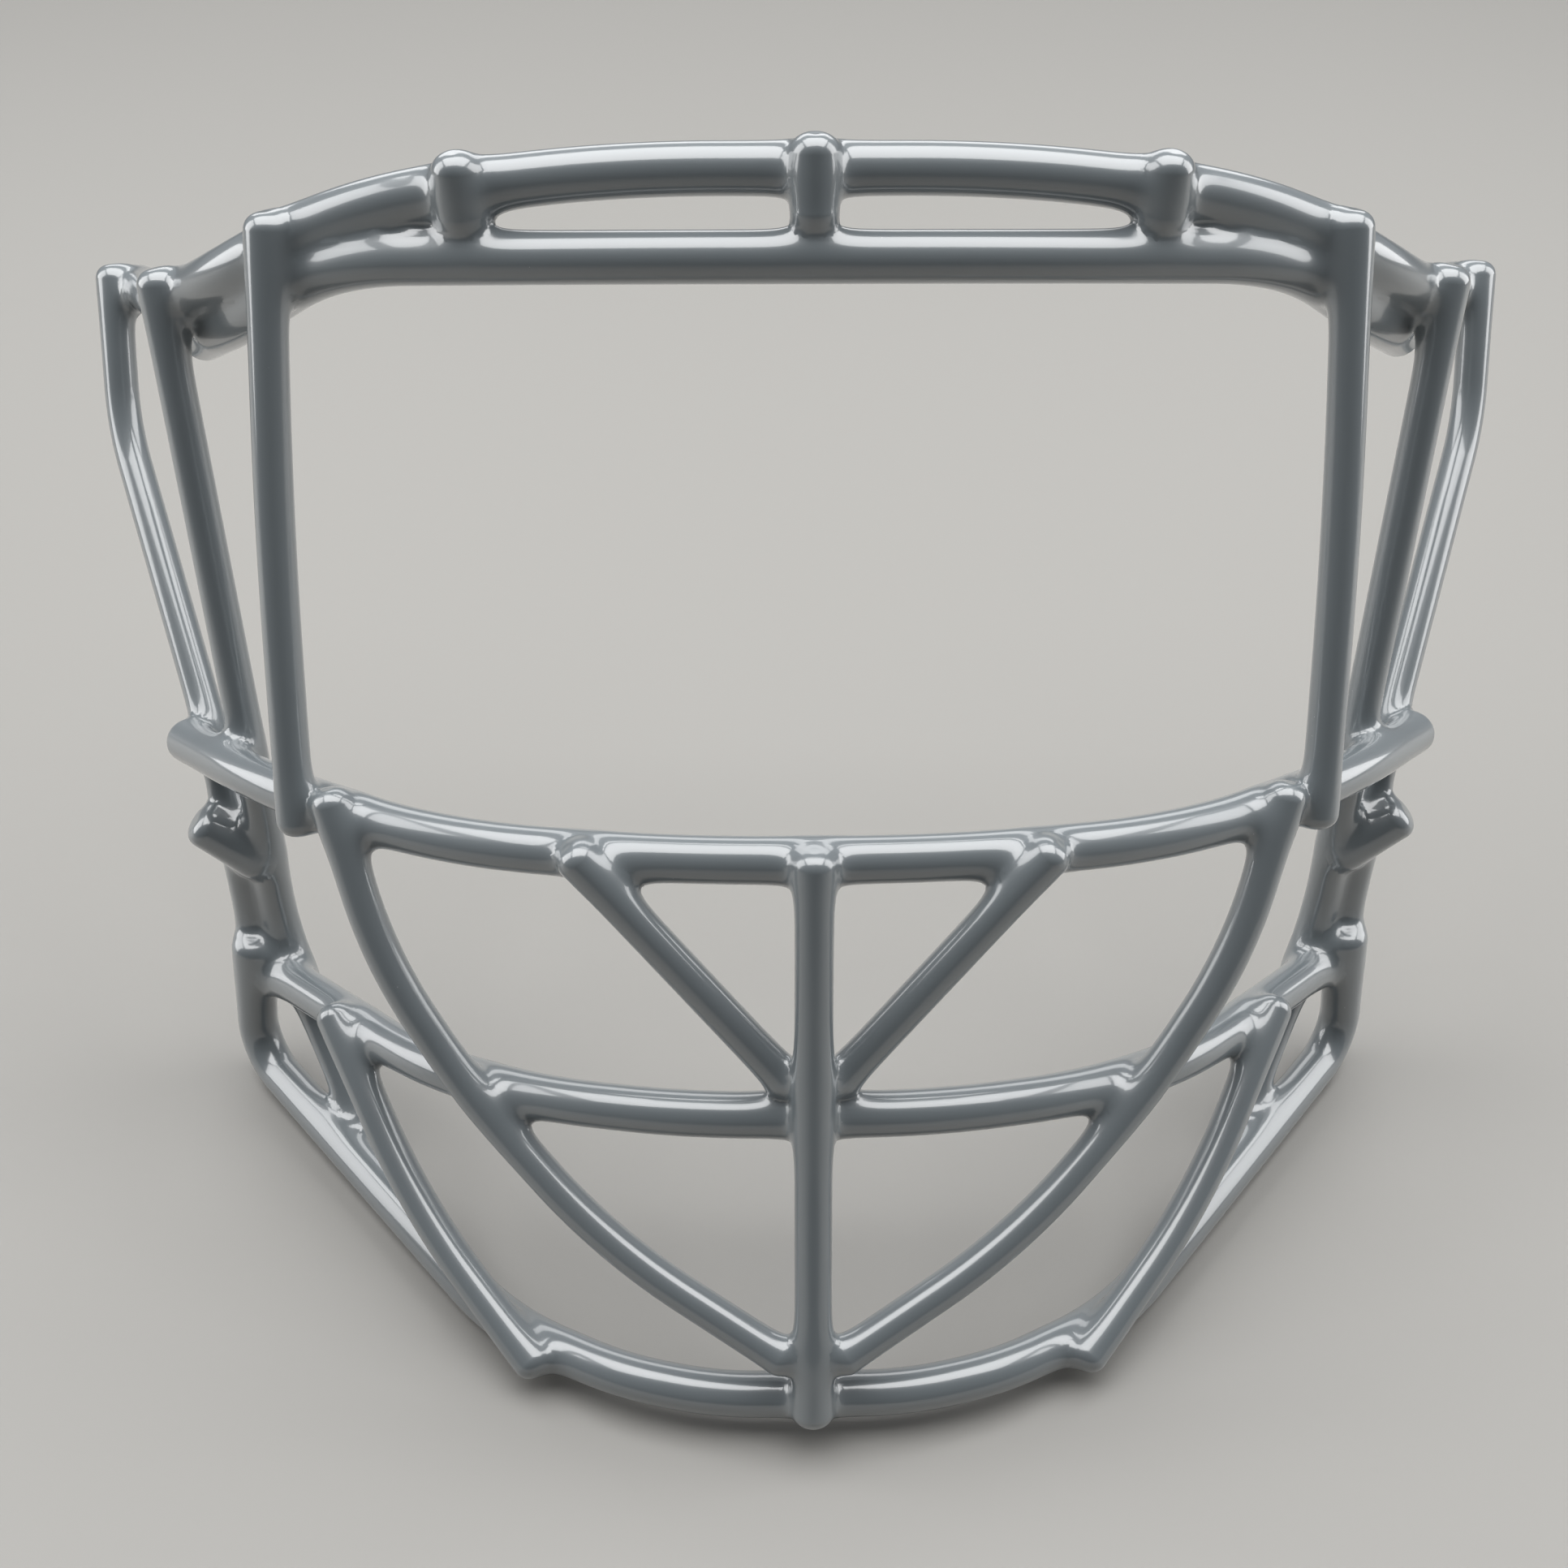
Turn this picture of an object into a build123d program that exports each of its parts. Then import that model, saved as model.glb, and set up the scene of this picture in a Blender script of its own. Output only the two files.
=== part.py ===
from build123d import *
import os
from math import atan2, degrees, radians, sqrt, tan

os.makedirs("parts", exist_ok=True)

# Football helmet facemask in millimetres, front towards -Y, up along +Z.
# Steel wires are bent to shape, lapped over each other, pressed together and welded at
# each crossing, and the whole frame is then dipped in a thick glossy coat.
# The wires are laid out in the mask's own frame: the origin is the middle of the nose
# bar and the front uprights stand upright. At the end the mask is leaned back until the
# straight arms of its chin bar lie on the floor.
# Sizes that are shares of a bar give a place along that bar.

# Wire stock, welds and coat
heavy_diameter = 6.35
light_diameter = 4.9
coat_thickness = 0.6
weld_bite = 0.5
end_coat = 1.2
rim_radius = 2.4

# Bends
gentle_bend_share = 0.45
upright_bend_radius = 30.0
corner_bend_radius = 9.0

# Top bar, from the middle of the forehead to the rear corners
top_half_width = 121.5
top_front = -1.2
top_depth = 88.5
top_level = 102.0
top_fall = 18.0
top_bend_shares = [(0.255, 0, 0.01), (0.56, 0.1, 0.25), (0.77, 0.313, 0.83), (0.88, 0.578, 1.03), (1, 1, 0.83)]

# Brow bar, whose ends run as tails along the underside of the top bar
brow_front = -1.9
brow_level = 89.6
brow_bend_share = 0.12
brow_tail_share = 0.93
tail_drop = 5.8
tail_gap = 0.4

# Nose bar between the eyes and the mouth
nose_half_width = 110.8
nose_depth = 57.2
nose_rise = 7.7
nose_bend_shares = [(0.194, 0, 0), (0.533, 0.175, 0.093), (0.812, 0.542, 0.653), (1, 1, 1)]

# Mouth bar
mouth_half_width = 99.0
mouth_front = 5.7
mouth_depth = 62.6
mouth_level = -44.0
mouth_rise = 4.0
mouth_bend_shares = [(0.189, 0, 0), (0.455, 0.128, 0), (0.667, 0.377, 0.05), (1, 1, 1)]

# Chin bar, whose arms rise to a sharp bend and turn up
chin_half_width = 106.1
chin_front = 6.5
chin_depth = 70.4
chin_level = -94.0
chin_rise = 35.6
chin_bend_shares = [(0.148, 0, 0), (0.297, 0.047, 0.047), (0.5, 0.228, 0.127), (1, 1, 1)]
chin_end_height = 25.0
chin_end_inset = 2.7
chin_end_forward = 10.5

# Spacers between the top bar and the brow bar
spacer_overrun = 3.0
spacer_lean = 2.1
side_spacer_share = 0.409

# Front uprights at the sides of the eye opening
front_upright_head_share = 0.64
front_upright_foot_share = 0.726
front_upright_overrun = 1.6
front_upright_drop = 3.0
front_upright_bow = 1.0

# Side uprights, outside the top bar and inside the nose, mouth and chin bars
side_upright_head_share = 0.819
side_upright_nose_share = 0.912
side_upright_chin_share = 0.815
side_upright_overrun = 2.2
side_upright_knee_inset = 0.5
side_upright_knee_back = 3.8
side_upright_knee_rise = 4.0

# Rear uprights, from the top bar's ends to the chin bar's turned-up ends
rear_upright_head_share = 0.988
rear_upright_nose_share = 0.998
rear_upright_overrun = 2.8
rear_upright_straight = 25.0
rear_upright_clip_drop = 16.0
rear_upright_clip_inset = 2.5
rear_upright_lap = 6.0

# Clip bars, short pieces that carry the side clips of the helmet
clip_bar_drop = 24.0
clip_bar_forward = 1.2
clip_bar_butt = 1.9
clip_bar_overrun = 3.4

# Centre bar down the front of the mouth
centre_bar_overrun = 1.4
centre_bar_drop = 1.6

# Braces that slant from the nose bar to the centre bar
brace_head_share = 0.311
brace_overrun = 1.8
brace_foot_out = 4.3
brace_foot_back = 2.9
brace_foot_rise = 6.8

# Sweeps that curve from the nose bar across the mouth bar to the chin
sweep_head_share = 0.668
sweep_mouth_share = 0.536
sweep_overrun = 3.8
sweep_upper_bow = 3.5
sweep_lower_bow = 3.3
sweep_foot_out = 4.6
sweep_foot_back = 0.5
sweep_foot_rise = 8.8

# Jaw bars from the mouth bar down to the chin bar
jaw_head_share = 0.812
jaw_foot_share = 0.415
jaw_overrun = 3.2
jaw_foot_drop = 1.4
jaw_bow = 2.8

# Steps of the searches along a centre line
search_steps = 24

heavy = heavy_diameter / 2
light = light_diameter / 2
light_on_heavy = light + heavy - weld_bite
along_x = Vector(1, 0, 0)
back = Vector(0, 1, 0)
up = Vector(0, 0, 1)


# The bends of a bar from its left end to its right end, from the shares of its right half
def bar_points(half_width, front, depth, level, rise, bend_shares):
    half = [Vector(half_width * x, front + depth * y, level + rise * z) for x, y, z in bend_shares]
    return mirrored(reversed(half)) + half


def mirrored(points):
    return [Vector(-point.X, point.Y, point.Z) for point in points]


# A wire's centre line: straight runs joined by tangent arcs. A bend without a radius of
# its own is gentle, and its arc takes a share of the shorter run beside it.
def bent(points, radii=None):
    bends = []
    for number in range(1, len(points) - 1):
        run_in = points[number] - points[number - 1]
        run_out = points[number + 1] - points[number]
        half_turn = radians(run_in.get_angle(run_out)) / 2
        gentle = gentle_bend_share * min(run_in.length, run_out.length) / tan(half_turn)
        bends.append(min(radii[number - 1] or gentle, gentle) if radii else gentle)
    return FilletPolyline(*points, radius=bends)


# Where a centre line passes a place on an axis that it climbs, as a share of its length
def share_at(path, place, axis):
    low = 0.0
    high = 1.0
    for step in range(search_steps):
        middle = (low + high) / 2
        if (path @ middle).dot(axis) < place:
            low = middle
        else:
            high = middle
    return low


# The level direction out of the mask, square to a bar
def outward(bar, share):
    along = bar % share
    return Vector(along.Y, -along.X, 0).normalized()


# The centre of a wire that runs along heading, pressed against another wire on one side
def pressed(path, share, heading, spacing, side):
    across = (path % share).cross(heading).normalized()
    if across.dot(side) < 0:
        across = -across
    return path @ share + across * spacing


def outside(bar, x, heading, spacing):
    share = share_at(bar, x, along_x)
    return pressed(bar, share, heading, spacing, outward(bar, share))


def inside(bar, x, heading, spacing):
    share = share_at(bar, x, along_x)
    return pressed(bar, share, heading, spacing, -outward(bar, share))


# Bars
top_points = bar_points(top_half_width, top_front, top_depth, top_level, -top_fall, top_bend_shares)
top_bar = bent(top_points)
nose_bar = bent(bar_points(nose_half_width, 0, nose_depth, 0, nose_rise, nose_bend_shares))
mouth_bar = bent(bar_points(mouth_half_width, mouth_front, mouth_depth, mouth_level, mouth_rise, mouth_bend_shares))

# The brow bar shares the top bar's bends in plan, and its tails run parallel to it, below
# and behind
inner_bend, outer_bend, tail_start, tail_end = top_points[-5:-1]
tail_spacing = heavy_diameter + coat_thickness + coat_thickness + tail_gap
tail_run = tail_end - tail_start
tail_inward = Vector(-tail_run.Y, tail_run.X, 0).normalized()
tail_offset = tail_inward * sqrt(tail_spacing ** 2 - tail_drop ** 2) - up * tail_drop
brow_bend = outer_bend + (tail_start - outer_bend) * brow_bend_share
brow_half = [
    Vector(inner_bend.X, brow_front, brow_level),
    Vector(brow_bend.X, brow_bend.Y, brow_level),
    tail_start + tail_offset,
    tail_start + tail_run * brow_tail_share + tail_offset,
]
brow_bar = bent(mirrored(reversed(brow_half)) + brow_half)

chin_points = bar_points(chin_half_width, chin_front, chin_depth, chin_level, chin_rise, chin_bend_shares)
chin_knee = chin_points[-1]
chin_tip = chin_knee + Vector(-chin_end_inset, -chin_end_forward, chin_end_height)
chin_radii = [corner_bend_radius] + [None] * (len(chin_points) - 2) + [corner_bend_radius]
chin_bar = bent(mirrored([chin_tip]) + chin_points + [chin_tip], chin_radii)

# The centre bar runs in front of the nose, mouth and chin bars
centre_bar = bent([
    Vector(0, chin_front - light_on_heavy, chin_level - centre_bar_drop),
    Vector(0, mouth_front - light_on_heavy, mouth_level),
    Vector(0, -light_on_heavy, centre_bar_overrun),
])


# A spacer laps the front of the top bar and leans back to stand on the brow bar
def spacer(x):
    head = outside(top_bar, x, up, light_on_heavy) + up * spacer_overrun
    share = share_at(brow_bar, x, along_x)
    height = sqrt((heavy + light) ** 2 - spacer_lean ** 2)
    foot = brow_bar @ share + outward(brow_bar, share) * spacer_lean + up * height
    return [foot, head]


# Front upright, lapped over the front of the top, brow and nose bars
head = outside(top_bar, top_half_width * front_upright_head_share, up, light_on_heavy)
foot = outside(nose_bar, nose_half_width * front_upright_foot_share, up, light_on_heavy)
front_upright = [
    foot - up * front_upright_drop,
    (head + foot) / 2 + along_x * front_upright_bow,
    head + up * front_upright_overrun,
]

# Side upright, with a bend behind the nose bar and a knee behind the mouth bar's end
knee_offset = Vector(-side_upright_knee_inset, side_upright_knee_back, side_upright_knee_rise)
side_knee = mouth_bar @ 1 + knee_offset
side_nose = inside(nose_bar, nose_half_width * side_upright_nose_share, up, light_on_heavy)
side_head = outside(top_bar, top_half_width * side_upright_head_share, up, light_on_heavy)
side_foot = inside(chin_bar, chin_half_width * side_upright_chin_share, side_knee - side_nose, light_on_heavy)
side_upright = [side_foot, side_knee, side_nose, side_head + up * side_upright_overrun]

# Rear upright, outside the top bar's end, inside the nose bar's end and behind the
# chin bar's turned-up end
rear_head = outside(top_bar, top_half_width * rear_upright_head_share, up, light_on_heavy)
rear_nose = inside(nose_bar, nose_half_width * rear_upright_nose_share, up, light_on_heavy)
rear_clip = rear_nose - along_x * rear_upright_clip_inset - up * rear_upright_clip_drop
chin_run = (chin_knee - chin_tip).normalized()
rear_upright = [
    chin_tip + chin_run * rear_upright_lap + back * light_on_heavy,
    rear_clip,
    rear_nose,
    rear_head - up * rear_upright_straight,
    rear_head + up * rear_upright_overrun,
]

# Clip bar, butted against the side upright and lapped over the rear upright
side_path = bent(side_upright, [upright_bend_radius] * 2)
rear_path = bent(rear_upright, [upright_bend_radius] * 3)
clip_place = share_at(side_path, nose_rise - clip_bar_drop, up)
clip_butt = side_path @ clip_place - back * clip_bar_forward
clip_reach = (rear_clip - clip_butt).normalized()
clip_lap = pressed(rear_path, share_at(rear_path, rear_clip.Z, up), clip_reach, light_on_heavy, -back)
clip_run = (clip_lap - clip_butt).normalized()
clip_bar = [
    clip_butt + clip_run * clip_bar_butt,
    clip_lap + clip_run * clip_bar_overrun,
]

# Brace, from the front of the nose bar to the corner of the centre and mouth bars
brace_head = outside(nose_bar, nose_half_width * brace_head_share, up, light_on_heavy)
brace_foot = Vector(brace_foot_out, mouth_front - light_on_heavy + brace_foot_back, mouth_level + brace_foot_rise)
brace = [brace_foot, brace_head + (brace_head - brace_foot).normalized() * brace_overrun]

# Sweep, in front of the nose and mouth bars, ending on the flank of the centre bar
sweep_head = outside(nose_bar, nose_half_width * sweep_head_share, up, light_on_heavy)
sweep_mouth = outside(mouth_bar, mouth_half_width * sweep_mouth_share, up, light_on_heavy)
sweep_foot = Vector(sweep_foot_out, chin_front - light_on_heavy + sweep_foot_back, chin_level + sweep_foot_rise)
mouth_sweep = [
    sweep_foot,
    (sweep_foot + sweep_mouth) / 2 + (along_x - up) * sweep_lower_bow,
    sweep_mouth,
    (sweep_mouth + sweep_head) / 2 + along_x * sweep_upper_bow,
    sweep_head + up * sweep_overrun,
]

# Jaw bar, in front of the mouth bar and the chin bar
jaw_head = outside(mouth_bar, mouth_half_width * jaw_head_share, up, light_on_heavy)
jaw_foot = outside(chin_bar, chin_half_width * jaw_foot_share, up, light_on_heavy)
jaw_bar = [
    jaw_foot - up * jaw_foot_drop,
    (jaw_head + jaw_foot) / 2 + (along_x - up) * jaw_bow,
    jaw_head + up * jaw_overrun,
]

# Every wire with its centre line and its steel radius. A later wire laps an earlier one.
wires = {
    "top_bar": (top_bar, heavy),
    "brow_bar": (brow_bar, heavy),
    "nose_bar": (nose_bar, heavy),
    "mouth_bar": (mouth_bar, heavy),
    "chin_bar": (chin_bar, heavy),
    "centre_bar": (centre_bar, light),
    "centre_spacer": (Line(*spacer(0)), light),
}
upright_radii = [upright_bend_radius] * 3
paired = {
    "side_spacer": (spacer(top_half_width * side_spacer_share), None, light),
    "front_upright": (front_upright, None, light),
    "side_upright": (side_upright, upright_radii[:2], light),
    "rear_upright": (rear_upright, upright_radii, light),
    "clip_bar": (clip_bar, None, heavy),
    "brace": (brace, None, light),
    "mouth_sweep": (mouth_sweep, None, light),
    "jaw_bar": (jaw_bar, None, light),
}
for name, (points, radii, radius) in paired.items():
    for hand, hand_points in (("right", points), ("left", mirrored(points))):
        path = bent(hand_points, radii) if len(hand_points) > 2 else Line(*hand_points)
        wires[f"{name}_{hand}"] = (path, radius)


# Solids
# A wire's round bar of one radius, from end to end of its centre line
def round_bar(path, radius):
    return sweep(Plane(origin=path @ 0, z_dir=path % 0) * Circle(radius), path=path)


# The dipped outside of a wire, which covers its two cut ends and rounds their rims
def dipped(path, radius):
    start = path @ 0 - path % 0 * end_coat
    end = path @ 1 + path % 1 * end_coat
    covered = Wire([Line(start, path @ 0).edge()] + path.edges() + [Line(path @ 1, end).edge()])
    body = round_bar(covered, radius)
    return fillet(body.faces().filter_by(GeomType.PLANE).edges(), rim_radius)


# Whether the coats of two wires meet
def meet(name, other):
    reach = wires[name][1] + wires[other][1] + coat_thickness + coat_thickness
    return wires[name][0].distance_to(wires[other][0]) < reach


cores = {}
hulls = {}
for name, (path, radius) in wires.items():
    if name.endswith("_left"):
        twin = name.replace("_left", "_right")
        cores[name] = mirror(cores[twin], about=Plane.YZ)
        hulls[name] = mirror(hulls[twin], about=Plane.YZ)
    else:
        cores[name] = round_bar(path, radius)
        hulls[name] = dipped(path, radius + coat_thickness)

# The later wire of a weld carries the notch, and each coat stops at the steels and at the
# coats of the earlier wires
order = list(wires)
parts = {}
for number, name in enumerate(order):
    if name.endswith("_left"):
        twin = name.replace("_left", "_right")
        for kind in ("steel", "coat"):
            parts[f"{name}_{kind}"] = mirror(parts[f"{twin}_{kind}"], about=Plane.YZ)
        continue
    steel = cores[name]
    coat = hulls[name] - cores[name]
    for place, other in enumerate(order):
        if other == name or not meet(name, other):
            continue
        coat -= cores[other]
        if place < number:
            steel -= cores[other]
            coat -= hulls[other]
    parts[f"{name}_steel"] = steel
    parts[f"{name}_coat"] = coat

# The mask leans back until the straight arms of its chin bar lie on the floor
arm = chin_knee - chin_points[-2]
lean = degrees(atan2(arm.Z, arm.Y))
leaned = {name: Rot(X=-lean) * part for name, part in parts.items()}
box = Compound(list(leaned.values())).bounding_box()
print("lean", lean, "size", box.size)
for name, part in leaned.items():
    export_step(Pos(-box.center().X, -box.center().Y, -box.min.Z) * part, f"parts/{name}.step")
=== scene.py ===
import bpy
import math
import numpy as np
from mathutils import Matrix, Vector


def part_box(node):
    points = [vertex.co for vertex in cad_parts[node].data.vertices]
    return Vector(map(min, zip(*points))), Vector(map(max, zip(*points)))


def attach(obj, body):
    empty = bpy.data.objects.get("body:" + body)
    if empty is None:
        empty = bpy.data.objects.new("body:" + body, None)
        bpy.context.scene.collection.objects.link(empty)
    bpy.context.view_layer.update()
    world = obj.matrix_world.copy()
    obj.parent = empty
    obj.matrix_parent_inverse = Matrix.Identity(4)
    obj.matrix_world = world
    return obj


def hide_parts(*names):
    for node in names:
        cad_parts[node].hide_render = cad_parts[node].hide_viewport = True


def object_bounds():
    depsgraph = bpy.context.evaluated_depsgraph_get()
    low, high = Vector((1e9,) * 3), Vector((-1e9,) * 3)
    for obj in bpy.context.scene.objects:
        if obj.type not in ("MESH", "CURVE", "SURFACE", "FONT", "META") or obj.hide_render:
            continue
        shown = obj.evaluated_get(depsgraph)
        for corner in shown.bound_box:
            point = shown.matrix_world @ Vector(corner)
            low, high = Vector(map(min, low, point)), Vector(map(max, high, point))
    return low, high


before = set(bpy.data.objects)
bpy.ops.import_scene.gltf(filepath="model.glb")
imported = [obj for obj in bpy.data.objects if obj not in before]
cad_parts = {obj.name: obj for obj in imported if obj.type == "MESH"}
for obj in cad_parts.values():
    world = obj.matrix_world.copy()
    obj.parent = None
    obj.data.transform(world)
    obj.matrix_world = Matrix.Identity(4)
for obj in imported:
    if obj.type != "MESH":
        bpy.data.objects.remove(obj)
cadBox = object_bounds()
print("frame loaded:", len(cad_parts), "nodes")

# Lengths are in millimetres in the mask's own frame, with the origin in the middle of the
# nose bar, until the wires are laid on the floor and turned into metres.
perMetre = 1000
xWay, yWay, zWay = np.eye(3)
wireStock = {"heavy": 3.175, "light": 2.45, "bite": 0.5, "coat": 0.6, "endCoat": 1.2, "rim": 2.4}
wireBends = {"gentleShare": 0.45, "upright": 30.0, "corner": 9.0,
             "step": 0.5, "fewestOnRun": 2, "fewestOnArc": 6}
lightOnHeavy = wireStock["light"] + wireStock["heavy"] - wireStock["bite"]


def unit(way):
    return way / np.linalg.norm(way, axis=-1, keepdims=True)


def flipped(corners):
    return [corner * (-1, 1, 1) for corner in corners]


# Centre line of a bent wire: straight runs, and round each corner the arc
# centre - inward * radius * cos(turn) + along * radius * sin(turn)
def bentLine(corners, radii=None):
    corners = np.array(corners, float)
    runs = np.diff(corners, axis=0)
    lengths = np.linalg.norm(runs, axis=1)
    ways = runs / lengths[:, None]
    spots, headings = [], []
    here = corners[0]
    for i in range(len(ways)):
        if i < len(ways) - 1:
            half = math.acos(min(1.0, ways[i] @ ways[i + 1])) / 2
            radius = wireBends["gentleShare"] * min(lengths[i], lengths[i + 1]) / math.tan(half)
            if radii and radii[i]:
                radius = min(radii[i], radius)
            runEnd = corners[i + 1] - ways[i] * radius * math.tan(half)
        else:
            runEnd = corners[i + 1]
        count = max(wireBends["fewestOnRun"], math.ceil(np.linalg.norm(runEnd - here) / wireBends["step"]))
        share = np.arange(count)[:, None] / count
        spots.append(here + (runEnd - here) * share)
        headings.append(np.repeat(ways[i][None], count, axis=0))
        if i < len(ways) - 1:
            inward = unit(ways[i + 1] - ways[i])
            along = unit(ways[i + 1] + ways[i])
            centre = corners[i + 1] + inward * radius / math.cos(half)
            count = max(wireBends["fewestOnArc"], math.ceil(2 * half * radius / wireBends["step"]))
            turn = (np.arange(count) / count * 2 - 1)[:, None] * half
            spots.append(centre - inward * radius * np.cos(turn) + along * radius * np.sin(turn))
            headings.append(inward * np.sin(turn) + along * np.cos(turn))
            here = corners[i + 1] + ways[i + 1] * radius * math.tan(half)
    spots.append(corners[-1][None])
    headings.append(ways[-1][None])
    return {"spots": np.concatenate(spots), "headings": np.concatenate(headings)}


# Spot and heading where a centre line first climbs past a value along an axis
def placeOn(line, value, axis):
    climb = line["spots"] @ axis
    i = int(np.argmax(climb >= value))
    share = (value - climb[i - 1]) / (climb[i] - climb[i - 1])
    spot = line["spots"][i - 1] * (1 - share) + line["spots"][i] * share
    return spot, unit(line["headings"][i - 1] * (1 - share) + line["headings"][i] * share)


# The level way out of the mask, square to a bar
def outOf(heading):
    return unit(np.array([heading[1], -heading[0], 0.0]))


# Centre of a wire that runs along a way, pressed against another wire on one side
def pressedOn(spot, heading, way, spacing, side):
    across = unit(np.cross(heading, way))
    return spot + across * spacing * (1 if across @ side > 0 else -1)


def outsideOf(bar, x, way, spacing):
    spot, heading = placeOn(bar, x, xWay)
    return pressedOn(spot, heading, way, spacing, outOf(heading))


def insideOf(bar, x, way, spacing):
    spot, heading = placeOn(bar, x, xWay)
    return pressedOn(spot, heading, way, spacing, -outOf(heading))


# Corners of a bar from left to right, from the shares of its right half
def barCorners(bar):
    start = np.array([0, bar["front"], bar["level"]])
    reach = np.array([bar["halfWidth"], bar["depth"], bar["rise"]])
    half = [start + reach * shares for shares in bar["shares"]]
    return flipped(half[::-1]) + half


wires = {}


def layWire(name, corners, stock, radii=None):
    line = bentLine(corners, radii)
    wires[name] = {"line": line, "radius": wireStock[stock] + wireStock["coat"]}
    return line


def layPair(name, corners, stock, radii=None):
    layWire(name + "_left", flipped(corners), stock, radii)
    return layWire(name + "_right", corners, stock, radii)


# Top bar over the forehead and back to the rear corners
topBar = {"halfWidth": 121.5, "front": -1.2, "depth": 88.5, "level": 102.0, "rise": -18.0,
          "shares": [(0.255, 0, 0.01), (0.56, 0.1, 0.25), (0.77, 0.313, 0.83),
                     (0.88, 0.578, 1.03), (1, 1, 0.83)]}
topCorners = barCorners(topBar)
topLine = layWire("top_bar", topCorners, "heavy")

# Brow bar, whose ends run as tails along the underside of the top bar
browBar = {"front": -1.9, "level": 89.6, "bendShare": 0.12, "tailShare": 0.93,
           "tailDrop": 5.8, "tailGap": 0.4}
innerBend, outerBend, tailStart, tailEnd = topCorners[-5:-1]
tailSpacing = 2 * (wireStock["heavy"] + wireStock["coat"]) + browBar["tailGap"]
tailRun = tailEnd - tailStart
tailInward = unit(np.array([-tailRun[1], tailRun[0], 0.0]))
tailOffset = tailInward * math.sqrt(tailSpacing ** 2 - browBar["tailDrop"] ** 2) - zWay * browBar["tailDrop"]
browBend = outerBend + (tailStart - outerBend) * browBar["bendShare"]
browHalf = [
    np.array([innerBend[0], browBar["front"], browBar["level"]]),
    np.array([browBend[0], browBend[1], browBar["level"]]),
    tailStart + tailOffset,
    tailStart + tailRun * browBar["tailShare"] + tailOffset,
]
browLine = layWire("brow_bar", flipped(browHalf[::-1]) + browHalf, "heavy")

# Nose bar between the eyes and the mouth
noseBar = {"halfWidth": 110.8, "front": 0.0, "depth": 57.2, "level": 0.0, "rise": 7.7,
           "shares": [(0.194, 0, 0), (0.533, 0.175, 0.093), (0.812, 0.542, 0.653), (1, 1, 1)]}
noseLine = layWire("nose_bar", barCorners(noseBar), "heavy")

# Mouth bar
mouthBar = {"halfWidth": 99.0, "front": 5.7, "depth": 62.6, "level": -44.0, "rise": 4.0,
            "shares": [(0.189, 0, 0), (0.455, 0.128, 0), (0.667, 0.377, 0.05), (1, 1, 1)]}
mouthLine = layWire("mouth_bar", barCorners(mouthBar), "heavy")

# Chin bar, whose arms rise to a sharp bend and turn up
chinBar = {"halfWidth": 106.1, "front": 6.5, "depth": 70.4, "level": -94.0, "rise": 35.6,
           "shares": [(0.148, 0, 0), (0.297, 0.047, 0.047), (0.5, 0.228, 0.127), (1, 1, 1)],
           "tip": (-2.7, -10.5, 25.0)}
chinCorners = barCorners(chinBar)
chinKnee = chinCorners[-1]
chinTip = chinKnee + np.array(chinBar["tip"])
chinRadii = [wireBends["corner"]] + [None] * (len(chinCorners) - 2) + [wireBends["corner"]]
chinLine = layWire("chin_bar", flipped([chinTip]) + chinCorners + [chinTip], "heavy", chinRadii)

# Centre bar down the front of the nose, mouth and chin bars
centreBar = {"overrun": 1.4, "drop": 1.6}
layWire("centre_bar", [
    np.array([0, chinBar["front"] - lightOnHeavy, chinBar["level"] - centreBar["drop"]]),
    np.array([0, mouthBar["front"] - lightOnHeavy, mouthBar["level"]]),
    np.array([0, -lightOnHeavy, centreBar["overrun"]]),
], "light")

# Spacers that lap the front of the top bar and lean back to stand on the brow bar
spacers = {"overrun": 3.0, "lean": 2.1, "sideShare": 0.409}


def spacerCorners(x):
    top = outsideOf(topLine, x, zWay, lightOnHeavy) + zWay * spacers["overrun"]
    spot, heading = placeOn(browLine, x, xWay)
    height = math.sqrt((wireStock["heavy"] + wireStock["light"]) ** 2 - spacers["lean"] ** 2)
    return [spot + outOf(heading) * spacers["lean"] + zWay * height, top]


layWire("centre_spacer", spacerCorners(0.0), "light")
layPair("side_spacer", spacerCorners(topBar["halfWidth"] * spacers["sideShare"]), "light")

# Front uprights at the sides of the eye opening
frontUpright = {"headShare": 0.64, "footShare": 0.726, "overrun": 1.6, "drop": 3.0, "bow": 1.0}
head = outsideOf(topLine, topBar["halfWidth"] * frontUpright["headShare"], zWay, lightOnHeavy)
foot = outsideOf(noseLine, noseBar["halfWidth"] * frontUpright["footShare"], zWay, lightOnHeavy)
layPair("front_upright", [
    foot - zWay * frontUpright["drop"],
    (head + foot) / 2 + xWay * frontUpright["bow"],
    head + zWay * frontUpright["overrun"],
], "light")

# Side uprights, outside the top bar and inside the nose, mouth and chin bars
sideUpright = {"headShare": 0.819, "noseShare": 0.912, "chinShare": 0.815, "overrun": 2.2,
               "knee": (-0.5, 3.8, 4.0)}
uprightBend = wireBends["upright"]
sideKnee = mouthLine["spots"][-1] + np.array(sideUpright["knee"])
sideNose = insideOf(noseLine, noseBar["halfWidth"] * sideUpright["noseShare"], zWay, lightOnHeavy)
sideHead = outsideOf(topLine, topBar["halfWidth"] * sideUpright["headShare"], zWay, lightOnHeavy)
sideChin = chinBar["halfWidth"] * sideUpright["chinShare"]
sideFoot = insideOf(chinLine, sideChin, sideKnee - sideNose, lightOnHeavy)
sideLine = layPair("side_upright", [sideFoot, sideKnee, sideNose, sideHead + zWay * sideUpright["overrun"]],
                   "light", [uprightBend] * 2)

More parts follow.
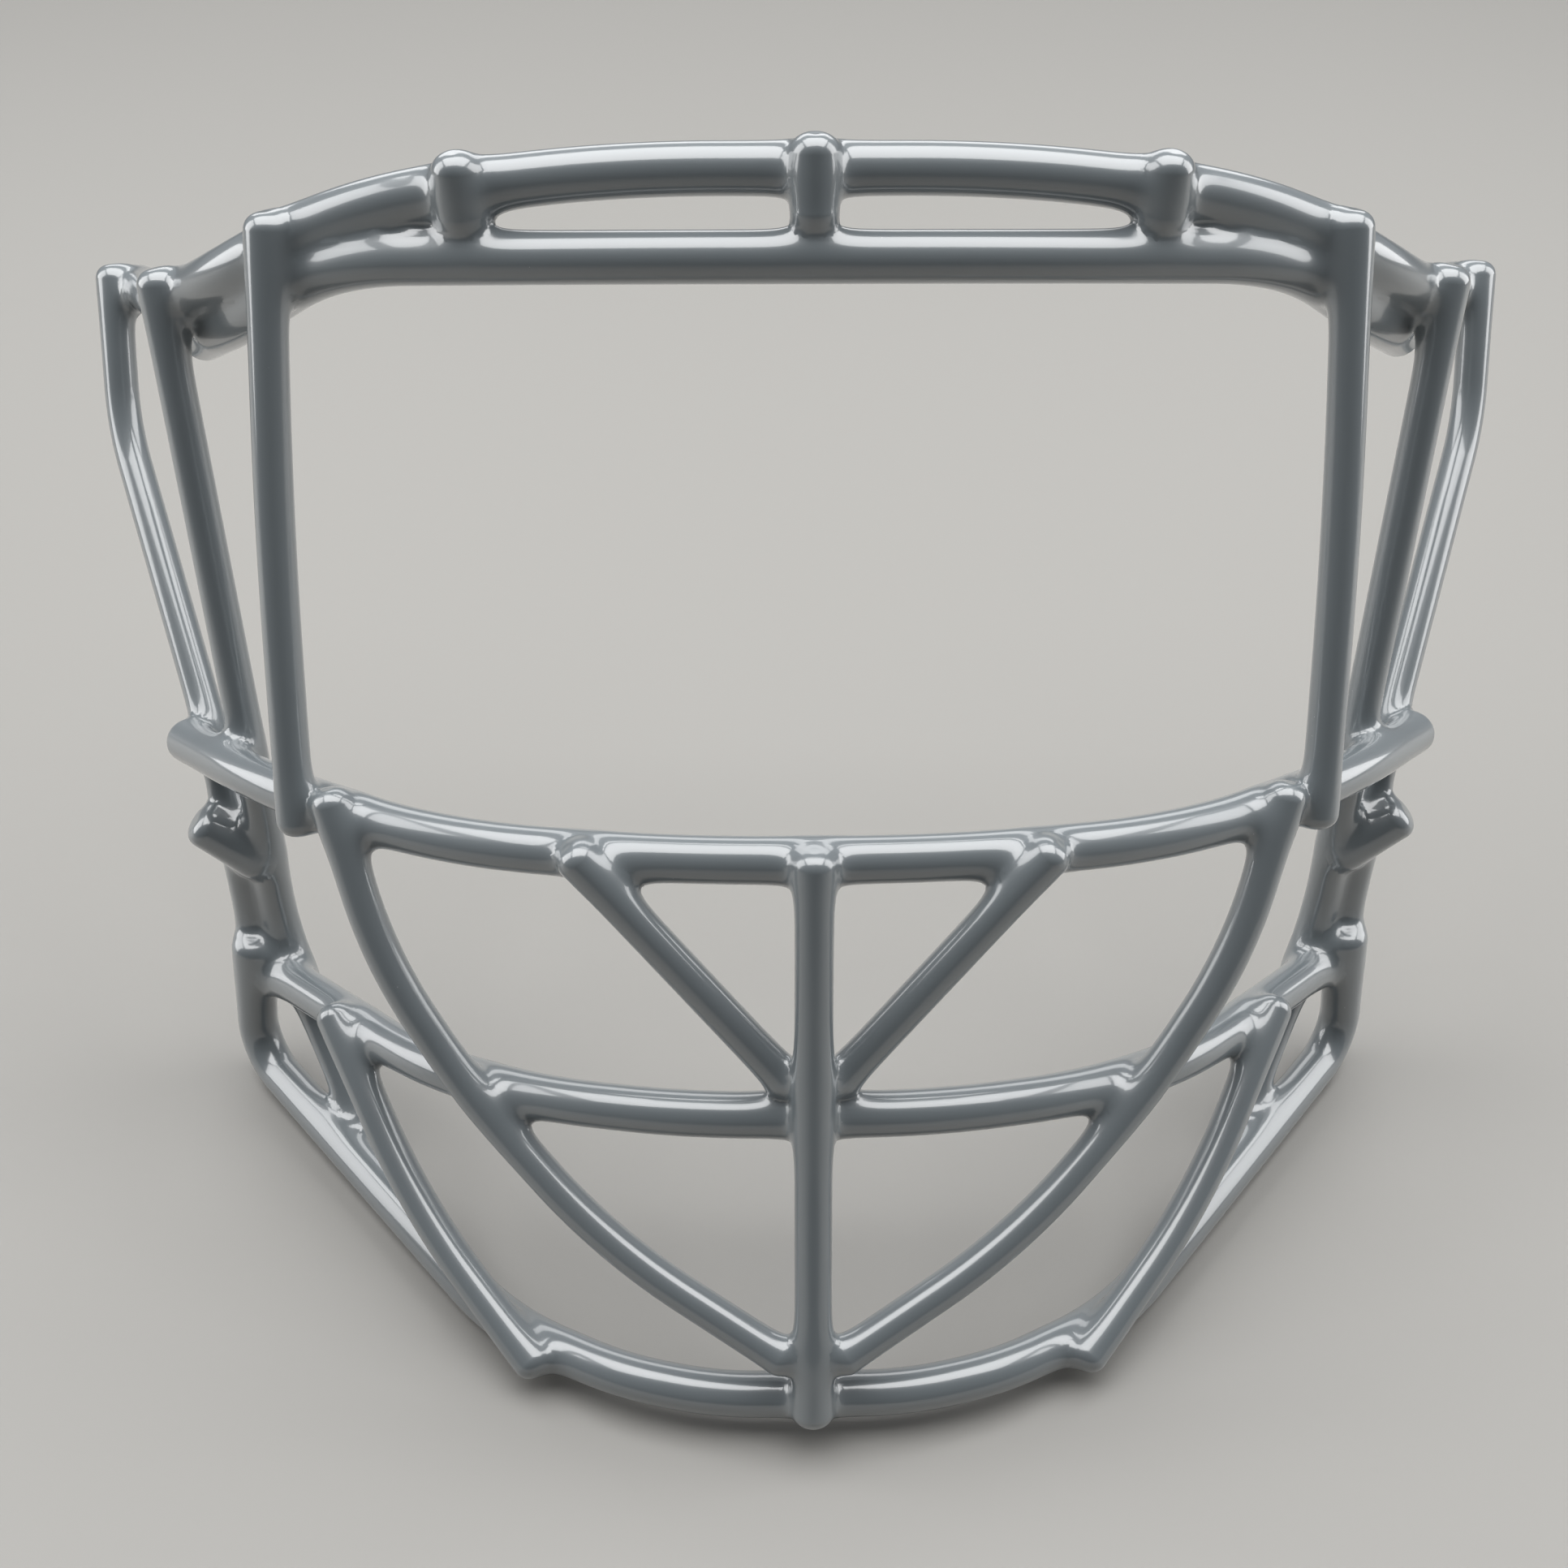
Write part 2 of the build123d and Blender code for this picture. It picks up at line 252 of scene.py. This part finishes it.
# Rear uprights, from the top bar's ends to the chin bar's turned-up ends
rearUpright = {"headShare": 0.988, "noseShare": 0.998, "overrun": 2.8, "straight": 25.0,
               "clipDrop": 16.0, "clipInset": 2.5, "lap": 6.0}
rearHead = outsideOf(topLine, topBar["halfWidth"] * rearUpright["headShare"], zWay, lightOnHeavy)
rearNose = insideOf(noseLine, noseBar["halfWidth"] * rearUpright["noseShare"], zWay, lightOnHeavy)
rearClip = rearNose - xWay * rearUpright["clipInset"] - zWay * rearUpright["clipDrop"]
rearLine = layPair("rear_upright", [
    chinTip + unit(chinKnee - chinTip) * rearUpright["lap"] + yWay * lightOnHeavy,
    rearClip,
    rearNose,
    rearHead - zWay * rearUpright["straight"],
    rearHead + zWay * rearUpright["overrun"],
], "light", [uprightBend] * 3)

# Clip bars, butted against the side uprights and lapped over the rear uprights
clipBar = {"drop": 24.0, "forward": 1.2, "butt": 1.9, "overrun": 3.4}
clipButt = placeOn(sideLine, noseBar["rise"] - clipBar["drop"], zWay)[0] - yWay * clipBar["forward"]
lapSpot, lapHeading = placeOn(rearLine, rearClip[2], zWay)
clipLap = pressedOn(lapSpot, lapHeading, unit(rearClip - clipButt), lightOnHeavy, -yWay)
clipWay = unit(clipLap - clipButt)
layPair("clip_bar", [clipButt + clipWay * clipBar["butt"], clipLap + clipWay * clipBar["overrun"]], "heavy")

# Braces that slant from the nose bar to the corner of the centre and mouth bars
brace = {"headShare": 0.311, "overrun": 1.8, "foot": (4.3, 2.9, 6.8)}
braceHead = outsideOf(noseLine, noseBar["halfWidth"] * brace["headShare"], zWay, lightOnHeavy)
braceFoot = np.array([0, mouthBar["front"] - lightOnHeavy, mouthBar["level"]]) + np.array(brace["foot"])
layPair("brace", [braceFoot, braceHead + unit(braceHead - braceFoot) * brace["overrun"]], "light")

# Sweeps that curve from the nose bar across the mouth bar to the chin
sweep = {"headShare": 0.668, "mouthShare": 0.536, "overrun": 3.8, "upperBow": 3.5, "lowerBow": 3.3,
         "foot": (4.6, 0.5, 8.8)}
sweepHead = outsideOf(noseLine, noseBar["halfWidth"] * sweep["headShare"], zWay, lightOnHeavy)
sweepMouth = outsideOf(mouthLine, mouthBar["halfWidth"] * sweep["mouthShare"], zWay, lightOnHeavy)
sweepFoot = np.array([0, chinBar["front"] - lightOnHeavy, chinBar["level"]]) + np.array(sweep["foot"])
layPair("mouth_sweep", [
    sweepFoot,
    (sweepFoot + sweepMouth) / 2 + (xWay - zWay) * sweep["lowerBow"],
    sweepMouth,
    (sweepMouth + sweepHead) / 2 + xWay * sweep["upperBow"],
    sweepHead + zWay * sweep["overrun"],
], "light")

# Jaw bars, in front of the mouth bar and the chin bar
jawBar = {"headShare": 0.812, "footShare": 0.415, "overrun": 3.2, "drop": 1.4, "bow": 2.8}
jawHead = outsideOf(mouthLine, mouthBar["halfWidth"] * jawBar["headShare"], zWay, lightOnHeavy)
jawFoot = outsideOf(chinLine, chinBar["halfWidth"] * jawBar["footShare"], zWay, lightOnHeavy)
layPair("jaw_bar", [
    jawFoot - zWay * jawBar["drop"],
    (jawHead + jawFoot) / 2 + (xWay - zWay) * jawBar["bow"],
    jawHead + zWay * jawBar["overrun"],
], "light")
print("wires laid:", len(wires))

# The mask leans back until the straight arms of its chin bar lie on the floor
arm = chinKnee - chinCorners[-2]
lean = math.atan2(arm[2], arm[1])
leaning = np.array([[1, 0, 0], [0, math.cos(lean), math.sin(lean)], [0, -math.sin(lean), math.cos(lean)]])
for wire in wires.values():
    wire["line"]["spots"] = wire["line"]["spots"] @ leaning.T
    wire["line"]["headings"] = wire["line"]["headings"] @ leaning.T

# The nose bar's highest corner, spot + radius * sqrt(1 - heading * heading), is set on the
# packed nose bar's, and every wire moves with it
noseLine = wires["nose_bar"]["line"]
noseReach = noseLine["spots"] + wireStock["heavy"] * np.sqrt(1 - noseLine["headings"] ** 2)
setDown = np.array(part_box("nose_bar_steel")[1]) * perMetre - noseReach.max(axis=0)
setDown[0] = 0
print("lean in degrees", round(math.degrees(lean), 3), "set down", setDown.round(3))

# The skin of the dip, which fills the crotch of each weld: the grid of its tubes, how far
# it fills, and how it sinks where another wire covers it
dipSkin = {"around": 32, "step": 0.6, "rimRings": 8, "capShares": (0.4, 0.75),
           "fill": 1.5, "leastFill": -0.1, "mostFill": 3.2, "reach": 7, "window": 10, "repeats": 8,
           "buried": 2.4, "buriedOver": 1.4, "tuck": 0.25, "tuckOver": 1.5}

# A wire's line as it stands, with the coat over its two ends, and the length along it
for wire in wires.values():
    spots = wire["line"]["spots"] + setDown
    headings = wire["line"]["headings"]
    spots = np.concatenate([spots[:1] - headings[:1] * wireStock["endCoat"], spots,
                            spots[-1:] + headings[-1:] * wireStock["endCoat"]])
    wire["spots"] = spots
    wire["headings"] = np.concatenate([headings[:1], headings, headings[-1:]])
    wire["along"] = np.concatenate([[0], np.cumsum(np.linalg.norm(np.diff(spots, axis=0), axis=1))])


def spotsAt(wire, along):
    return np.stack([np.interp(along, wire["along"], wire["spots"][:, i]) for i in range(3)], axis=-1)


def headingsAt(wire, along):
    mixed = [np.interp(along, wire["along"], wire["headings"][:, i]) for i in range(3)]
    return unit(np.stack(mixed, axis=-1))


# The spine of each wire stops one radius short of its ends, and its round skin is all
# that lies one radius from the spine
for wire in wires.values():
    length = wire["along"][-1]
    count = max(wireBends["fewestOnRun"], math.ceil(length - 2 * wire["radius"]))
    wire["spine"] = spotsAt(wire, np.linspace(wire["radius"], length - wire["radius"], count + 1))


# Distance from each spot to the skin of a wire, and the way from its spine, with only the
# stretch of spine near each spot's own ring looked at:
# foot = start + run * clamp((spot - start) . run / run . run), distance = |spot - foot| - radius
def skinDistance(spots, near, wire):
    spine = wire["spine"]
    pick = np.clip(near[:, None] + np.arange(-dipSkin["window"], dipSkin["window"]), 0, len(spine) - 2)
    start = spine[pick]
    run = spine[pick + 1] - start
    share = np.clip(((spots[:, None] - start) * run).sum(-1) / (run * run).sum(-1), 0, 1)
    foot = start + run * share[..., None]
    apart = spots[:, None] - foot
    distance = np.linalg.norm(apart, axis=-1)
    best = distance.argmin(axis=1)
    rows = np.arange(len(spots))
    return distance[rows, best] - wire["radius"], unit(apart[rows, best])


def smoothStep(value):
    value = np.clip(value, 0, 1)
    return value * value * (3 - 2 * value)


# A wire's tube on a grid of along and around:
# spot = centre(along) + radius(along) * (side * cos(around) + up * sin(around)),
# with radius(along) = flat + rim * sin(turn) at along = rim * (1 - cos(turn)) round each end
def tubeGrid(wire):
    rim, radius, length = wireStock["rim"], wire["radius"], wire["along"][-1]
    flat = radius - rim
    turn = np.linspace(0, math.pi / 2, dipSkin["rimRings"] + 1)
    capRings = flat * np.array(dipSkin["capShares"])
    capAlong = np.concatenate([np.zeros(len(capRings)), rim * (1 - np.cos(turn))])
    capRadius = np.concatenate([capRings, flat + rim * np.sin(turn)])
    capFacing = np.concatenate([np.zeros(len(capRings)), turn])
    count = math.ceil((length - 2 * rim) / dipSkin["step"])
    body = np.linspace(rim, length - rim, count + 1)[1:-1]
    along = np.concatenate([capAlong, body, length - capAlong[::-1]])
    ringRadius = np.concatenate([capRadius, np.full(len(body), radius), capRadius[::-1]])
    facing = np.concatenate([capFacing, np.full(len(body), math.pi / 2), math.pi - capFacing[::-1]])
    centre, heading = spotsAt(wire, along), headingsAt(wire, along)
    plain = np.eye(3)[np.abs(heading).max(axis=0).argmin()]
    side = unit(plain - heading * (heading @ plain)[:, None])
    up = np.cross(heading, side)
    around = np.linspace(0, 2 * math.pi, dipSkin["around"], endpoint=False)[None, :, None]
    out = side[:, None] * np.cos(around) + up[:, None] * np.sin(around)
    spots = centre[:, None] + ringRadius[:, None, None] * out
    ways = out * np.sin(facing)[:, None, None] - heading[:, None] * np.cos(facing)[:, None, None]
    spots = np.concatenate([spots.reshape(-1, 3), centre[[0, -1]]])
    ways = np.concatenate([ways.reshape(-1, 3), -heading[:1], heading[-1:]])
    rings = np.concatenate([np.repeat(np.arange(len(along)), dipSkin["around"]), [0, len(along) - 1]])
    return spots, ways, rings, centre


# The dip is one skin over all the wires. It lies where
# exp(-own / fill) + sum of exp(-other / fill) = 1, own and other being the distances to the
# tubes, and its normals are the mean of the tubes' ways weighted by those terms.
def dipped(name):
    wire = wires[name]
    spots, ways, rings, centre = tubeGrid(wire)
    others = []
    for otherName, other in wires.items():
        if otherName == name:
            continue
        apart = np.linalg.norm(centre[:, None] - other["spine"][None], axis=-1)
        near = apart.min(axis=1) < wire["radius"] + other["radius"] + dipSkin["reach"] * dipSkin["fill"]
        if near.any():
            picked = np.flatnonzero(near[rings])
            others.append((picked, apart.argmin(axis=1)[rings[picked]], other))
    lift = np.zeros(len(spots))
    for repeat in range(dipSkin["repeats"] + 1):
        here = spots + ways * lift[:, None]
        total = np.exp(-lift / dipSkin["fill"])
        normals = ways * total[:, None]
        nearest = np.full(len(spots), np.inf)
        for picked, nearSpine, other in others:
            distance, way = skinDistance(here[picked], nearSpine, other)
            weight = np.exp(-distance / dipSkin["fill"])
            total[picked] += weight
            normals[picked] += way * weight[:, None]
            nearest[picked] = np.minimum(nearest[picked], distance)
        if repeat == 0:
            buried = nearest
        if repeat < dipSkin["repeats"]:
            lift += dipSkin["fill"] * np.log(total)
            lift = np.clip(lift, dipSkin["leastFill"], dipSkin["mostFill"])
    lift *= smoothStep((buried + dipSkin["buried"]) / dipSkin["buriedOver"])
    lift -= dipSkin["tuck"] * smoothStep((lift - nearest) / dipSkin["tuckOver"])
    return spots + ways * lift[:, None], unit(normals)


# Quads between rings and a fan of triangles on each end
def tubeFaces(count):
    around = dipSkin["around"]
    rings = count // around
    i = np.arange(around)
    j = (i + 1) % around
    first = (np.arange(rings - 1) * around)[:, None]
    second = first + around
    quads = np.stack([first + i, first + j, second + j, second + i], axis=-1).reshape(-1, 4)
    last = (rings - 1) * around
    startFan = np.stack([np.full(around, count - 2), j, i], axis=-1)
    endFan = np.stack([np.full(around, count - 1), last + i, last + j], axis=-1)
    return quads.tolist() + startFan.tolist() + endFan.tolist()


# The place of a mix node's colour among its outputs, which share one name
mixedColour = 2


def linked(tree, source, output, target, socket):
    tree.links.new(source.outputs[output], target.inputs[socket])


def mathNode(tree, operation, first, second):
    node = tree.nodes.new("ShaderNodeMath")
    node.operation = operation
    linked(tree, first, 0, node, 0)
    if isinstance(second, (int, float)):
        node.inputs[1].default_value = second
    else:
        linked(tree, second, 0, node, 1)
    return node


def rampNode(tree, source, ends, colours):
    node = tree.nodes.new("ShaderNodeValToRGB")
    node.color_ramp.interpolation = "EASE"
    for element, place, colour in zip(node.color_ramp.elements, ends, colours):
        element.position = place
        element.color = (*colour, 1)
    linked(tree, source, "Fac", node, "Fac")
    return node


def noiseNode(tree, place, scale, detail, stretch):
    mapping = tree.nodes.new("ShaderNodeMapping")
    mapping.inputs["Scale"].default_value = stretch
    linked(tree, place, "Object", mapping, "Vector")
    node = tree.nodes.new("ShaderNodeTexNoise")
    node.inputs["Scale"].default_value = scale
    node.inputs["Detail"].default_value = detail
    linked(tree, mapping, "Vector", node, "Vector")
    return node


def newFinish(name):
    finish = bpy.data.materials.new(name)
    finish.use_nodes = True
    tree = finish.node_tree
    return finish, tree, tree.nodes["Principled BSDF"], tree.nodes.new("ShaderNodeTexCoord")


# Blue-grey dip: a clear gloss over a duller grey, with fine dust on it. A grain of dust is
# step(cell random - rarest) * step(grain - distance to the cell's middle)
greyDip = {"grey": (0.150, 0.171, 0.183), "dust": (0.62, 0.63, 0.62), "dustScale": 420.0, "rarest": 0.86,
           "grain": 0.035, "dustShow": 0.45, "rough": 0.29, "ior": 1.8, "coatRough": 0.08, "coatIor": 1.7}


def greyDipFinish():
    finish, tree, shader, place = newFinish("greyDip")
    dots = tree.nodes.new("ShaderNodeTexVoronoi")
    dots.inputs["Scale"].default_value = greyDip["dustScale"]
    linked(tree, place, "Object", dots, "Vector")
    chosen = tree.nodes.new("ShaderNodeSeparateColor")
    linked(tree, dots, "Color", chosen, "Color")
    few = mathNode(tree, "GREATER_THAN", chosen, greyDip["rarest"])
    small = mathNode(tree, "LESS_THAN", dots, greyDip["grain"])
    dust = mathNode(tree, "MULTIPLY", few, small)
    faint = mathNode(tree, "MULTIPLY", dust, greyDip["dustShow"])
    colour = tree.nodes.new("ShaderNodeMix")
    colour.data_type = "RGBA"
    colour.inputs["A"].default_value = (*greyDip["grey"], 1)
    colour.inputs["B"].default_value = (*greyDip["dust"], 1)
    linked(tree, faint, 0, colour, "Factor")
    linked(tree, colour, mixedColour, shader, "Base Color")
    rough = mathNode(tree, "ADD", faint, greyDip["rough"])
    linked(tree, rough, 0, shader, "Roughness")
    shader.inputs["IOR"].default_value = greyDip["ior"]
    shader.inputs["Coat Weight"].default_value = 1.0
    shader.inputs["Coat Roughness"].default_value = greyDip["coatRough"]
    shader.inputs["Coat IOR"].default_value = greyDip["coatIor"]
    return finish


# Bright drawn steel under the dip: metal with fine draw lines, from one stretched noise in
# colour = dull + (pale - dull) * ease(noise), rough = smooth + (worn - smooth) * ease(noise)
# and relief = bumpDepth * noise
drawnWire = {"dull": (0.42, 0.42, 0.43), "pale": (0.62, 0.62, 0.63), "colourEnds": (0.35, 0.65),
             "smooth": (0.28, 0.28, 0.28), "worn": (0.42, 0.42, 0.42), "roughEnds": (0.3, 0.7),
             "lineScale": 900.0, "lineDetail": 3, "lineStretch": (0.08, 1, 1),
             "bump": 0.2, "bumpDepth": 0.00005}


def drawnWireFinish():
    finish, tree, shader, place = newFinish("drawnWire")
    lines = noiseNode(tree, place, drawnWire["lineScale"], drawnWire["lineDetail"], drawnWire["lineStretch"])
    tint = rampNode(tree, lines, drawnWire["colourEnds"], (drawnWire["dull"], drawnWire["pale"]))
    linked(tree, tint, "Color", shader, "Base Color")
    gloss = rampNode(tree, lines, drawnWire["roughEnds"], (drawnWire["smooth"], drawnWire["worn"]))
    linked(tree, gloss, "Color", shader, "Roughness")
    bump = tree.nodes.new("ShaderNodeBump")
    bump.inputs["Strength"].default_value = drawnWire["bump"]
    bump.inputs["Distance"].default_value = drawnWire["bumpDepth"]
    linked(tree, lines, "Fac", bump, "Height")
    linked(tree, bump, "Normal", shader, "Normal")
    shader.inputs["Metallic"].default_value = 1.0
    return finish


# Each wire's skin is a closed mesh in metres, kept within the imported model's box
dipFinish = greyDipFinish()
lowest, highest = np.array(cadBox[0], float), np.array(cadBox[1], float)
for name in wires:
    spots, normals = dipped(name)
    spots = np.clip(spots / perMetre, lowest, highest)
    mesh = bpy.data.meshes.new(name + "_dip")
    mesh.from_pydata(spots, [], tubeFaces(len(spots)))
    mesh.shade_smooth()
    mesh.normals_split_custom_set_from_vertices(normals)
    mesh.materials.append(dipFinish)
    piece = bpy.data.objects.new(name + "_dip", mesh)
    bpy.context.scene.collection.objects.link(piece)
    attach(piece, "root")
    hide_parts(name + "_coat")
print("dip skins made:", len(wires))

steelFinish = drawnWireFinish()
for name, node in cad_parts.items():
    if name.endswith("_steel"):
        node.data.materials.clear()
        node.data.materials.append(steelFinish)
print("steel wires finished")

# Plain pale floor
floor = {"size": 8.0, "colour": (0.3, 0.292, 0.276), "rough": 0.5}
floorMesh = bpy.data.meshes.new("floor")
half = floor["size"] / 2
floorCorners = [(-half, -half, 0), (half, -half, 0), (half, half, 0), (-half, half, 0)]
floorMesh.from_pydata(floorCorners, [], [(0, 1, 2, 3)])
floorPiece = bpy.data.objects.new("floor", floorMesh)
bpy.context.scene.collection.objects.link(floorPiece)
floorFinish, _, floorShader, _ = newFinish("paleFloor")
floorShader.inputs["Base Color"].default_value = (*floor["colour"], 1)
floorShader.inputs["Roughness"].default_value = floor["rough"]
floorMesh.materials.append(floorFinish)

# Soft studio light: a broad lamp overhead, a low one behind and a tall one at each side,
# all turned towards the middle of the mask
lampAim = Vector((0, 0, 0.08))
lamps = {
    "lampAbove": {"place": (0.0, 0.12, 0.9), "size": (1.3, 0.85), "power": 13.0},
    "lampBehind": {"place": (0.0, 0.9, 0.45), "size": (1.2, 0.3), "power": 2.2},
    "lampLeft": {"place": (-0.75, 0.1, 0.4), "size": (0.5, 0.7), "power": 3.4},
    "lampRight": {"place": (0.75, 0.1, 0.4), "size": (0.5, 0.7), "power": 3.4},
}
for name, lamp in lamps.items():
    light = bpy.data.lights.new(name, "AREA")
    light.shape = "RECTANGLE"
    light.size, light.size_y = lamp["size"]
    light.energy = lamp["power"]
    holder = bpy.data.objects.new(name, light)
    bpy.context.scene.collection.objects.link(holder)
    aim = lampAim - Vector(lamp["place"])
    turn = aim.to_track_quat("-Z", "Y").to_matrix().to_4x4()
    holder.matrix_world = Matrix.Translation(lamp["place"]) @ turn

# The room is dim in front of the mask and pale behind it:
# strength = front + (back - front) * (direction y + 1) / 2
room = {"colour": (0.93, 0.96, 1.0), "front": 0.02, "back": 0.3}
world = bpy.data.worlds.new("room")
world.use_nodes = True
worldTree = world.node_tree
worldPlace = worldTree.nodes.new("ShaderNodeTexCoord")
worldWay = worldTree.nodes.new("ShaderNodeSeparateXYZ")
worldLevel = worldTree.nodes.new("ShaderNodeMapRange")
worldLevel.inputs["From Min"].default_value = -1.0
worldLevel.inputs["To Min"].default_value = room["front"]
worldLevel.inputs["To Max"].default_value = room["back"]
linked(worldTree, worldPlace, "Generated", worldWay, "Vector")
linked(worldTree, worldWay, "Y", worldLevel, "Value")
linked(worldTree, worldLevel, "Result", worldTree.nodes["Background"], "Strength")
worldTree.nodes["Background"].inputs["Color"].default_value = (*room["colour"], 1)
bpy.context.scene.world = world

# Camera: its place and turns in the mask's own frame, leaned back with the mask
view = {"place": (-9.61, -300.79, 81.65), "yaw": 0.971, "pitch": 13.03, "roll": 0.17,
        "lens": 46.6, "sensor": 36.0, "near": 0.01, "far": 50}
yaw, pitch, roll = (math.radians(view[turn]) for turn in ("yaw", "pitch", "roll"))
ahead = np.array([math.sin(yaw) * math.cos(pitch), math.cos(yaw) * math.cos(pitch), -math.sin(pitch)])
levelRight = np.array([math.cos(yaw), -math.sin(yaw), 0.0])
down = np.cross(ahead, levelRight)
right = levelRight * math.cos(roll) + down * math.sin(roll)
down = down * math.cos(roll) - levelRight * math.sin(roll)
turned = Matrix([leaning @ right, leaning @ -down, leaning @ -ahead]).transposed().to_4x4()
place = (leaning @ np.array(view["place"]) + setDown) / perMetre
camera = bpy.data.cameras.new("camera")
camera.lens, camera.sensor_width = view["lens"], view["sensor"]
camera.clip_start, camera.clip_end = view["near"], view["far"]
cameraHolder = bpy.data.objects.new("camera", camera)
cameraHolder.matrix_world = Matrix.Translation(place.tolist()) @ turned
bpy.context.scene.collection.objects.link(cameraHolder)
bpy.context.scene.camera = cameraHolder
bpy.context.scene.view_settings.view_transform = "Standard"
print("camera, lamps and floor placed")
